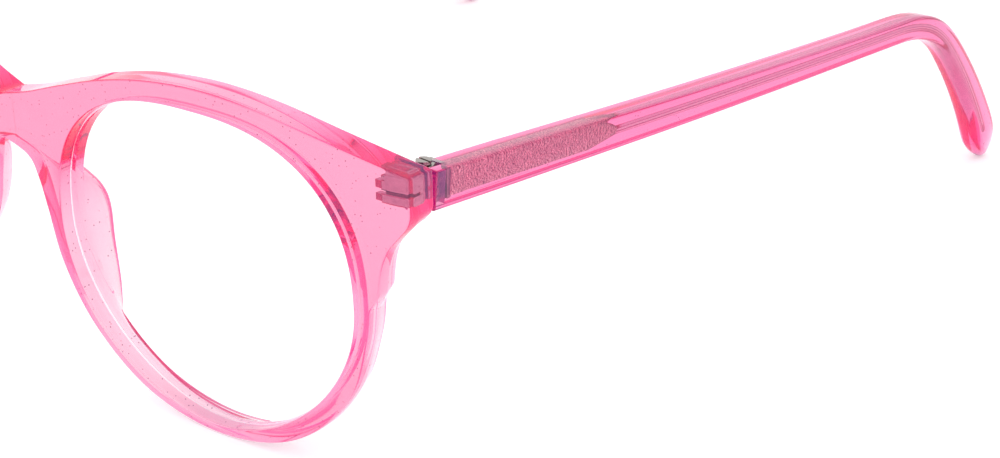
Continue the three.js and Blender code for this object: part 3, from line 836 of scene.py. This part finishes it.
def add_front():
    vertices, faces = front_mesh()
    piece = smooth_object("acetate_front", vertices, faces, [front_acetate])
    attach(piece, "front")
    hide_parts("front_frame", "nose_pad_left", "nose_pad_right")


def add_lens(side, hand):
    vertices, faces, finishes = lens_mesh(side)
    piece = smooth_object(f"clear_lens_{hand}", vertices, faces, [lens_clear, lens_edge], finishes)
    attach(piece, "front")
    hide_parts(f"lens_{hand}")


def add_temple(side, hand):
    vertices, faces = temple_mesh()
    vertices = vertices if side > 0 else mirrored(vertices)
    piece = smooth_object(f"acetate_temple_{hand}", vertices, faces, [temple_acetate])
    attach(piece, f"arm_{hand}")
    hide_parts(f"temple_{hand}")


def add_core(side, hand):
    vertices, faces, finishes = core_mesh()
    vertices = vertices if side > 0 else mirrored(vertices)
    piece = smooth_object(f"textured_core_{hand}", vertices, faces, [core_metal, wire_metal], finishes)
    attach(piece, f"arm_{hand}")
    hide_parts(f"core_wire_{hand}")


HINGE_EDGE = 0.06 * MM
HINGE_EDGE_ANGLE = math.radians(40)


def finish_hinge(name):
    """Keeps a CAD hinge piece, with softened edges and a satin metal finish, painted pink on its anchors
    to stand for the light that reaches them through the acetate.
    """
    piece = frame["nodes"][name]
    piece.data.materials.clear()
    piece.data.materials.append(hinge_metal)
    bevel = piece.modifiers.new("softened_edges", "BEVEL")
    bevel.width = HINGE_EDGE
    bevel.segments = 2
    bevel.limit_method = "ANGLE"
    bevel.angle_limit = HINGE_EDGE_ANGLE


add_front()
for side, hand in ((1, "left"), (-1, "right")):
    add_lens(side, hand)
    add_temple(side, hand)
    add_core(side, hand)
    for kind in ("front_hinge", "hinge_screw", "temple_hinge"):
        finish_hinge(f"{kind}_{hand}")


# ------------------------------------------------------------------------ stage
FLOOR_HALF = 3.0
FLOOR_DROP = 0.0001
FLOOR_WHITE = 0.8
FLOOR_GLOW = 0.33
FLOOR_ROUGHNESS = 0.7
FLOOR_SPECULAR = 0.2

DOME_STRENGTH = 1.1
SOFTBOX_PLACE = (0.35, -0.45, 0.75)
SOFTBOX_WIDTH = 1.0
SOFTBOX_HEIGHT = 0.8
SOFTBOX_POWER = 1.5

CAMERA_LENS = 82.43
CAMERA_SENSOR = 36.0
CAMERA_NEAR = 0.01
CAMERA_PLACE = (234.98 * MM, -159.57 * MM + BACKWARD, 144.63 * MM)
CAMERA_DOWN = 24.554
CAMERA_AROUND = 42.845

LIGHT_BOUNCES = 96


def plain_white(name, value, glow):
    material, tree, shader = new_material(name)
    shader.inputs["Emission Color"].default_value = (1, 1, 1, 1)
    shader.inputs["Emission Strength"].default_value = glow
    shader.inputs["Base Color"].default_value = (value, value, value, 1)
    shader.inputs["Roughness"].default_value = FLOOR_ROUGHNESS
    shader.inputs["Specular IOR Level"].default_value = FLOOR_SPECULAR
    return material


def add_floor():
    signs = ((-1, -1), (1, -1), (1, 1), (-1, 1))
    corners = [Vector((x * FLOOR_HALF, y * FLOOR_HALF, 0)) for x, y in signs]
    mesh = bpy.data.meshes.new("pale_floor")
    mesh.from_pydata(corners, [], [(0, 1, 2, 3)])
    floor = bpy.data.objects.new("pale_floor", mesh)
    bpy.context.scene.collection.objects.link(floor)
    mesh.materials.append(plain_white("floor_white", FLOOR_WHITE, FLOOR_GLOW))
    floor.location.z = -FLOOR_DROP


def add_world(strength):
    world = bpy.data.worlds.new("studio")
    world.use_nodes = True
    background = world.node_tree.nodes["Background"]
    background.inputs["Color"].default_value = (1, 1, 1, 1)
    background.inputs["Strength"].default_value = strength
    bpy.context.scene.world = world


def add_softbox(name, place, target, width, height, power):
    data = bpy.data.lights.new(name, "AREA")
    data.shape = "RECTANGLE"
    data.size = width
    data.size_y = height
    data.energy = power
    light = bpy.data.objects.new(name, data)
    light.location = place
    light.rotation_euler = (Vector(target) - Vector(place)).to_track_quat("-Z", "Y").to_euler()
    bpy.context.scene.collection.objects.link(light)


def add_camera():
    data = bpy.data.cameras.new("camera")
    data.lens = CAMERA_LENS
    data.sensor_width = CAMERA_SENSOR
    data.clip_start = CAMERA_NEAR
    camera = bpy.data.objects.new("camera", data)
    camera.location = CAMERA_PLACE
    camera.rotation_euler = (math.radians(90 - CAMERA_DOWN), 0, math.radians(CAMERA_AROUND))
    bpy.context.scene.collection.objects.link(camera)
    bpy.context.scene.camera = camera


add_floor()
add_world(DOME_STRENGTH)
add_softbox("key_softbox", SOFTBOX_PLACE, (0, 0, 0), SOFTBOX_WIDTH, SOFTBOX_HEIGHT, SOFTBOX_POWER)
add_camera()

scene = bpy.context.scene
scene.view_settings.view_transform = "Standard"
scene.cycles.max_bounces = LIGHT_BOUNCES
scene.cycles.transmission_bounces = LIGHT_BOUNCES
scene.cycles.glossy_bounces = LIGHT_BOUNCES
